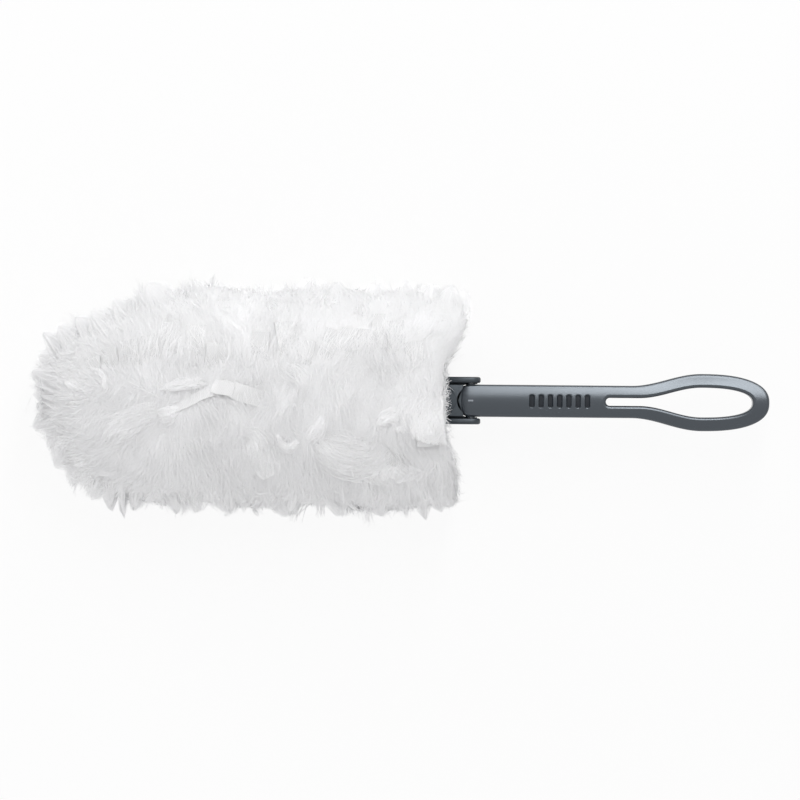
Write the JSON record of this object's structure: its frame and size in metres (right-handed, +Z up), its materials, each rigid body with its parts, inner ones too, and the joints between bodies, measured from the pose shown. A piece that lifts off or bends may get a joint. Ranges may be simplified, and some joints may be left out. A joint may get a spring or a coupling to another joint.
{
  "type": "hand duster",
  "caption": "Folding hand duster: a slim crowned handle with a hanging loop, a forked head hinged on a pin, and a pull-off refill of white fibre tufts and slit strips.",
  "frame": {"origin": "middle of the bounding box at the table, under the head's flattened back", "axes": "+X along the duster from the head towards the hanging loop, +Y across it, +Z up out of its front face"},
  "size_m": [0.3501, 0.1134, 0.0699],
  "materials": {
    "handle_grey": "matte moulded",
    "fork_charcoal": "matte moulded",
    "pin_steel": "plain",
    "sheet_white": "nonwoven sheet",
    "fibre_white": "loose fibre",
    "strip_white": "slit nonwoven sheet"
  },
  "bodies": {
    "handle": {"handle": "handle_grey"},
    "fork": {"fork": "fork_charcoal", "pivot_pin": "pin_steel"},
    "refill": {"front_sheet": "sheet_white", "back_sheet": "sheet_white", "front_inner_fibres": "fibre_white", "front_strip_sheet": "strip_white", "front_outer_fibres": "fibre_white", "back_inner_fibres": "fibre_white", "back_strip_sheet": "strip_white", "back_outer_fibres": "fibre_white"}
  },
  "joints": [
    {"name": "fold", "type": "hinge", "parent": "handle", "child": "fork", "pos_m": [0.0327, 0, 0.03], "axis": [0, 1, 0], "range_deg": [0, 90]},
    {"name": "refill_slide", "type": "slide", "parent": "fork", "child": "refill", "axis": [-1, 0, 0], "range_m": [0, 0.16]}
  ]
}
